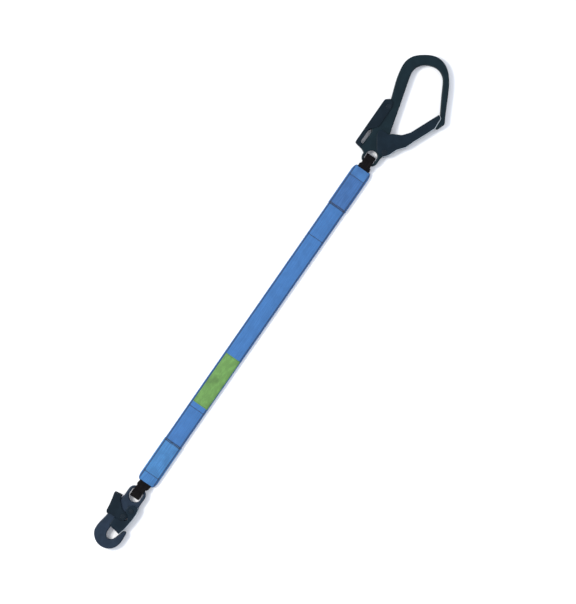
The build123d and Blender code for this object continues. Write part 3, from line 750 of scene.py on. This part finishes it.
class LANYARD_OT_loops(bpy.types.Operator):
    """Builds the load loops and their wear pads round the hooks' eye bars"""
    bl_idname = "lanyard.loops"
    bl_label = "Load loops"

    def execute(self, context):
        strap = context.scene.lanyard_strap
        material = webbing("woven_polyester_load_loop_webbing", list(strap.black), list(strap.black), 40.0,
                           strap.yarn_pitch * 1.2, roughness=0.82, sheen=0.02, streaks=0.5, gloss=0.1)
        ends = {"small": (0.0, SMALL_SEAMS[2]), "large": (STRAP_LENGTH, STRAP_LENGTH - LARGE_SEAMS[2])}
        for side, (tip, tongue) in ends.items():
            loop_low, loop_high = (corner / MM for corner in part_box(f"{side}_load_loop"))
            pad_low, pad_high = (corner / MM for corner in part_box(f"{side}_wear_pad"))
            bar_x, _, bar_z = BARS[f"{side}_hook"]
            eye_half = (loop_high.y - loop_low.y) / 2
            outer = (loop_high.z - loop_low.z) / 2
            web = strap.loop_web / MM
            tip_x = SMALL_TIP_X + tip
            # The webbing widens only where the hook's turning shoulders don't reach it.
            bar_clear = pad_high.z - bar_z - 0.2
            tip_wide = strap.loop_tip_width / MM / 2
            tip_y = route_y(tip)
            way = 1 if bar_x > tip_x else -1

            def half_at(x, way=way, bar_x=bar_x, tip_wide=tip_wide, eye_half=eye_half, bar_clear=bar_clear):
                toward_strap = (bar_x - x) * way
                share = min(1.0, max(0.0, (toward_strap - bar_clear) / FLARE_LENGTH))
                return eye_half + (tip_wide - eye_half) * share * share * (3 - 2 * share)

            def middle_at(x, tip_x=tip_x, bar_x=bar_x, tip_y=tip_y):
                share = min(1.0, max(0.0, (x - tip_x) / (bar_x - tip_x)))
                return tip_y + (STRAP_Y - tip_y) * share

            bight = strap.bight_radius / MM
            far_x = (loop_high.x if way > 0 else loop_low.x) - way * bight
            path = band_path((bar_x, bar_z), far_x, outer - web / 2, bight - web / 2, tip_x, tongue - 4)
            loop = band(f"{side}_load_loop_webbing", path, half_at, web, middle_at, material)
            finish_piece(loop, "black_webbing", f"{side}_load_loop")
            pad_outer = (pad_high.z - pad_low.z) / 2
            pad_web = strap.pad_web / MM
            # The pad lies against the loop's inside, so its far end turns on the same middle.
            pad_far = abs((pad_high.x if way > 0 else pad_low.x) - far_x)
            arc = bight_path((bar_x, bar_z), far_x, pad_outer - pad_web / 2, pad_far - pad_web / 2, way,
                             PAD_TURN, -PAD_TURN)
            pad = band(f"{side}_wear_pad_webbing", arc, lambda x, half=eye_half: half - 0.1, pad_web,
                       lambda x: STRAP_Y, material)
            finish_piece(pad, "black_webbing", f"{side}_wear_pad")
        return {"FINISHED"}


class LANYARD_OT_core(bpy.types.Operator):
    """Builds the tear-ply core and the backup web inside the jacket"""
    bl_idname = "lanyard.core"
    bl_label = "Absorber core"

    def execute(self, context):
        strap = context.scene.lanyard_strap
        material = webbing("undyed_tear_ply_webbing", list(strap.undyed), list(strap.undyed), 40.0,
                           strap.yarn_pitch, roughness=0.85, sheen=0.2)
        for node in ("tear_core", "backup_web"):
            low, high = (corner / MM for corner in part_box(node))
            middle_z = (low.z + high.z) / 2
            spots = run_of(low.x + 4, high.x - 4, 6.0)
            path = [(x, middle_z + 0.04 * math.sin(x * 0.4)) for x in spots]
            half = (high.y - low.y) / 2 - 1.2
            piece = band(f"{node}_webbing", path, lambda x, half=half: half, (high.z - low.z) * 0.8,
                         lambda x: route_y(x - SMALL_TIP_X), material)
            finish_piece(piece, "core_webbing", node)
        return {"FINISHED"}


class LANYARD_OT_label(bpy.types.Operator):
    """Builds the data label, laid over the jacket's crown"""
    bl_idname = "lanyard.label"
    bl_label = "Data label"

    def execute(self, context):
        strap = context.scene.lanyard_strap
        start, end, right, left = LABEL
        thick = strap.label_thick / MM
        rows = run_of(start, end, 2.0)
        columns = run_of(right, left, 1.0)
        points, faces = [], []
        for level in (thick, 0.04):
            for x in rows:
                for y in columns:
                    rounding = 0.12 if y in (columns[0], columns[-1]) or x in (rows[0], rows[-1]) else 0.0
                    drop = rounding if level == thick else 0.0
                    points.append((SMALL_TIP_X + x, route_y(x) + y, top_height(x, y, strap, level - drop)))
        wide, deep = len(columns), len(rows)
        layer = wide * deep
        for r in range(deep - 1):
            for c in range(wide - 1):
                a = r * wide + c
                faces.append((a, a + 1, a + wide + 1, a + wide))
                faces.append((layer + a, layer + a + wide, layer + a + wide + 1, layer + a + 1))
        rim = ([c for c in range(wide)] + [r * wide + wide - 1 for r in range(1, deep)]
               + [(deep - 1) * wide + c for c in reversed(range(wide - 1))]
               + [r * wide for r in reversed(range(1, deep - 1))])
        for a, b in zip(rim, rim[1:] + rim[:1]):
            faces.append((a, b, layer + b, layer + a))
        material = printed_cloth("printed_polyester_label_cloth", list(strap.green), 0.6 * MM)
        piece = mesh_piece("data_label_cloth", points, faces, material, planar_uvs(points))
        finish_piece(piece, "green_label", "data_label")
        return {"FINISHED"}


def seam_line(strap, start, end, side=1, sink=0.12, step=2.4):
    """Points of a line of stitches on the strap, between two (x, y) spots, on its top or underside."""
    (x0, y0), (x1, y1) = start, end
    count = max(2, round(math.hypot(x1 - x0, y1 - y0) / step))
    line = []
    for k in range(count + 1):
        x, y = x0 + (x1 - x0) * k / count, y0 + (y1 - y0) * k / count
        height = top_height(x, y, strap, 0) - STRAP_MID
        line.append((SMALL_TIP_X + x, route_y(x) + y, STRAP_MID + side * (height - sink)))
    return line


class LANYARD_OT_stitching(bpy.types.Operator):
    """Sews the cross seams, the edge seams, the lengthwise rows and the label's border"""
    bl_idname = "lanyard.stitching"
    bl_label = "Stitching"

    def execute(self, context):
        strap, threads = context.scene.lanyard_strap, context.scene.lanyard_thread
        navy = thread("bonded_navy_sewing_thread", list(threads.navy))
        quilting = thread("bonded_blue_sewing_thread", list(threads.quilting))
        border = thread("bonded_green_sewing_thread", list(threads.label_thread))
        gap = threads.row_gap / MM
        reach = STRAP_HALF - 1.6
        ends = {"small": (SMALL_SEAMS, 1), "large": (LARGE_SEAMS, -1)}
        for side, (seams, way) in ends.items():
            lines = []
            # One row each, but three for the seam that ends the sleeve.
            for seam, rows in zip(seams, ((0,), (-1, 0, 1), (0,))):
                for row in rows:
                    x = seam - way * 1.6 + row * gap if seam == seams[1] else seam + row * gap
                    wide = min(reach, tip_half(x, STRAP_HALF, strap) - 1.8)
                    for face in (1, -1):
                        lines.append(seam_line(strap, (x, -wide), (x, wide), face))
            piece = sew(f"{side}_cross_seam_thread", lines, navy, threads, pitch=2.3 * MM, width=2.0 * MM)
            finish_piece(piece, "blue_thread", f"{side}_end_stitching")
            quilt = []
            for first, last in zip(seams, seams[1:]):
                low, high = sorted((first, last))
                for y in QUILT_ROWS:
                    for face in (1, -1):
                        quilt.append(seam_line(strap, (low + 4, y), (high - 5, y), face, 0.2))
            piece = sew(f"{side}_lengthwise_thread", quilt, quilting, threads, width=0.9 * MM)
            finish_piece(piece, "blue_thread")
        edge = STRAP_HALF - threads.edge_inset / MM
        lines = [seam_line(strap, (8.0, y), (STRAP_LENGTH - 8.0, y), face, 0.1)
                 for y in (-edge, edge) for face in (1, -1)]
        piece = sew("edge_seam_thread", lines, navy, threads)
        finish_piece(piece, "blue_thread")
        start, end, right, left = LABEL
        inset = 1.7
        corners = [(start + inset, right + inset), (end - inset, right + inset), (end - inset, left - inset),
                   (start + inset, left - inset)]
        lines = [seam_line(strap, a, b, 1, -strap.label_thick / MM + 0.1)
                 for a, b in zip(corners, corners[1:] + corners[:1])]
        piece = sew("label_border_thread", lines, border, threads, pitch=2.6 * MM, width=0.85 * MM)
        finish_piece(piece, "label_thread", "label_stitching")
        return {"FINISHED"}


class LANYARD_OT_strap_route(bpy.types.Operator):
    bl_idname = "lanyard.strap_route"
    bl_label = "Strap route"

    def execute(self, context):
        line = [[value * MM for value in point] for point in ROUTE_LINE]
        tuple(line[0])
        return {"FINISHED"}


class LANYARD_OT_hook_finishes(bpy.types.Operator):
    """Gives the hooks, gates, levers, rivets and springs their finishes"""
    bl_idname = "lanyard.hook_finishes"
    bl_label = "Hook finishes"

    def execute(self, context):
        hooks = context.scene.lanyard_hooks
        bare = list(hooks.bare_steel)
        # Drop-forged body: the scale and shot blast leave a 0.7 mm grain under the coat.
        large_forged = coated_steel("drop_forged_steel_phosphate_coat", list(hooks.large_coating), bare,
                                    0.7, 0.09, 0.42, hooks)
        small_forged = coated_steel("drop_forged_steel_blue_phosphate_coat", list(hooks.small_coating), bare,
                                    0.7, 0.09, 0.42, hooks)
        # Pressed sheet: smoother, so the same coat is glossier.
        # The gates also get a painted highlight along their folds that face -Y.
        gate = coated_steel("pressed_steel_gate_coat", list(hooks.gate_coating), bare, 0.45, 0.04, 0.34,
                            hooks, highlight_side=(0.0, -1.0, 0.0))
        lever = coated_steel("pressed_steel_lever_coat", list(hooks.lever_coating), bare, 0.45, 0.04, 0.36,
                             hooks)
        rivets = coated_steel("peened_rivet_steel_coat", list(hooks.rivet_coating), bare, 0.4, 0.04, 0.36,
                              hooks)
        springs = turned_steel("drawn_spring_steel_wire", linear("8C9094"), 0.32, 0.3)
        finishes = {"large_hook_body": large_forged, "small_hook_body": small_forged, "gate": gate,
                    "lock_lever": lever, "rivet": rivets, "spring": springs}
        for name, node in frame["nodes"].items():
            if node.hide_render:
                continue
            found = [finish for ending, finish in finishes.items() if name.endswith(ending)]
            if not found:
                raise RuntimeError(f"{name} has no finish")
            for slot in node.material_slots:
                slot.material = found[0]
        return {"FINISHED"}


class LANYARD_OT_stage(bpy.types.Operator):
    """Lays the floor, sets the soft lights and places the camera"""
    bl_idname = "lanyard.stage"
    bl_label = "Floor, lights and camera"

    def execute(self, context):
        stage = context.scene.lanyard_stage
        material, tree, shader = new_material("matt_white_paper")
        place = add_node(tree, "ShaderNodeTexCoord").outputs["Object"]
        fibre = add_node(tree, "ShaderNodeTexNoise", Vector=place, Scale=180.0, Detail=3.0)
        tone = add_node(tree, MIX, COLOURS, add_node(tree, MATH, MULTIPLY, fibre, 0.05),
                        i6=list(stage.floor), i7=linear("E4E7EC")).outputs[2]
        set_inputs(tree, shader, Base_Color=tone, Roughness=0.95, Specular_IOR_Level=0.1)
        half = 12000
        corners = [(-half, -half, -0.3), (half, -half, -0.3), (half, half, -0.3), (-half, half, -0.3)]
        floor = mesh_piece("floor", corners, [(0, 1, 2, 3)], material, smooth=False)
        world = bpy.data.worlds.new("even_studio_light")
        world.use_nodes = True
        background = world.node_tree.nodes["Background"]
        background.inputs[0].default_value = linear("F2F6FF")
        background.inputs[1].default_value = stage.sky
        context.scene.world = world
        context.scene.view_settings.view_transform = "Standard"
        lights = {
            "key": ((-0.5, 1.6, 1.9), 1.0, stage.key_power, "FFFDF8"),
            "fill": ((1.3, -0.9, 1.6), 1.8, stage.fill_power, "F4F8FF"),
        }
        for name, (spot, size, power, tint) in lights.items():
            data = bpy.data.lights.new(name, "AREA")
            data.shape = "DISK"
            data.size = size
            data.energy = power
            data.color = linear(tint)[:3]
            lamp = bpy.data.objects.new(name, data)
            lamp.location = spot
            aim = Vector(stage.view_centre) - Vector(spot)
            lamp.rotation_euler = aim.to_track_quat("-Z", "Y").to_euler()
            context.scene.collection.objects.link(lamp)
        data = bpy.data.cameras.new("camera")
        data.lens = stage.lens
        data.sensor_width = 36.0
        data.clip_end = 60.0
        distance = stage.view_height * data.lens / data.sensor_width
        camera = bpy.data.objects.new("camera", data)
        camera.location = Vector(stage.view_centre) + Vector((0, 0, distance))
        camera.rotation_euler = (0, 0, stage.turn)
        context.scene.collection.objects.link(camera)
        context.scene.camera = camera
        return {"FINISHED"}


OPERATORS = (
    LANYARD_OT_jacket, LANYARD_OT_sleeves, LANYARD_OT_loops, LANYARD_OT_core, LANYARD_OT_label,
    LANYARD_OT_stitching, LANYARD_OT_strap_route, LANYARD_OT_hook_finishes, LANYARD_OT_stage,
)
SETTINGS = {
    "lanyard_strap": StrapSettings, "lanyard_thread": ThreadSettings, "lanyard_hooks": HookSettings,
    "lanyard_stage": StageSettings,
}


class LANYARD_PT_sidebar(bpy.types.Panel):
    """Lists the lanyard's pieces and their settings"""
    bl_idname = "LANYARD_PT_sidebar"
    bl_label = "Lanyard"
    bl_space_type = "VIEW_3D"
    bl_region_type = "UI"
    bl_category = "Lanyard"

    def draw(self, context):
        column = self.layout.column()
        for operator in OPERATORS:
            column.operator(operator.bl_idname)
        for name, group in SETTINGS.items():
            box = self.layout.box()
            settings = getattr(context.scene, name)
            for setting in group.__annotations__:
                box.prop(settings, setting)


CLASSES = (*SETTINGS.values(), *OPERATORS, LANYARD_PT_sidebar)


def register():
    for each in CLASSES:
        bpy.utils.register_class(each)
    for name, group in SETTINGS.items():
        setattr(bpy.types.Scene, name, PointerProperty(type=group))


def unregister():
    for name in SETTINGS:
        delattr(bpy.types.Scene, name)
    for each in reversed(CLASSES):
        bpy.utils.unregister_class(each)


def main():
    register()
    bpy.ops.lanyard.jacket()
    bpy.ops.lanyard.sleeves()
    bpy.ops.lanyard.loops()
    bpy.ops.lanyard.core()
    bpy.ops.lanyard.label()
    bpy.ops.lanyard.stitching()
    bpy.ops.lanyard.strap_route()
    bpy.ops.lanyard.hook_finishes()
    bpy.ops.lanyard.stage()


if __name__ == "__main__":
    main()
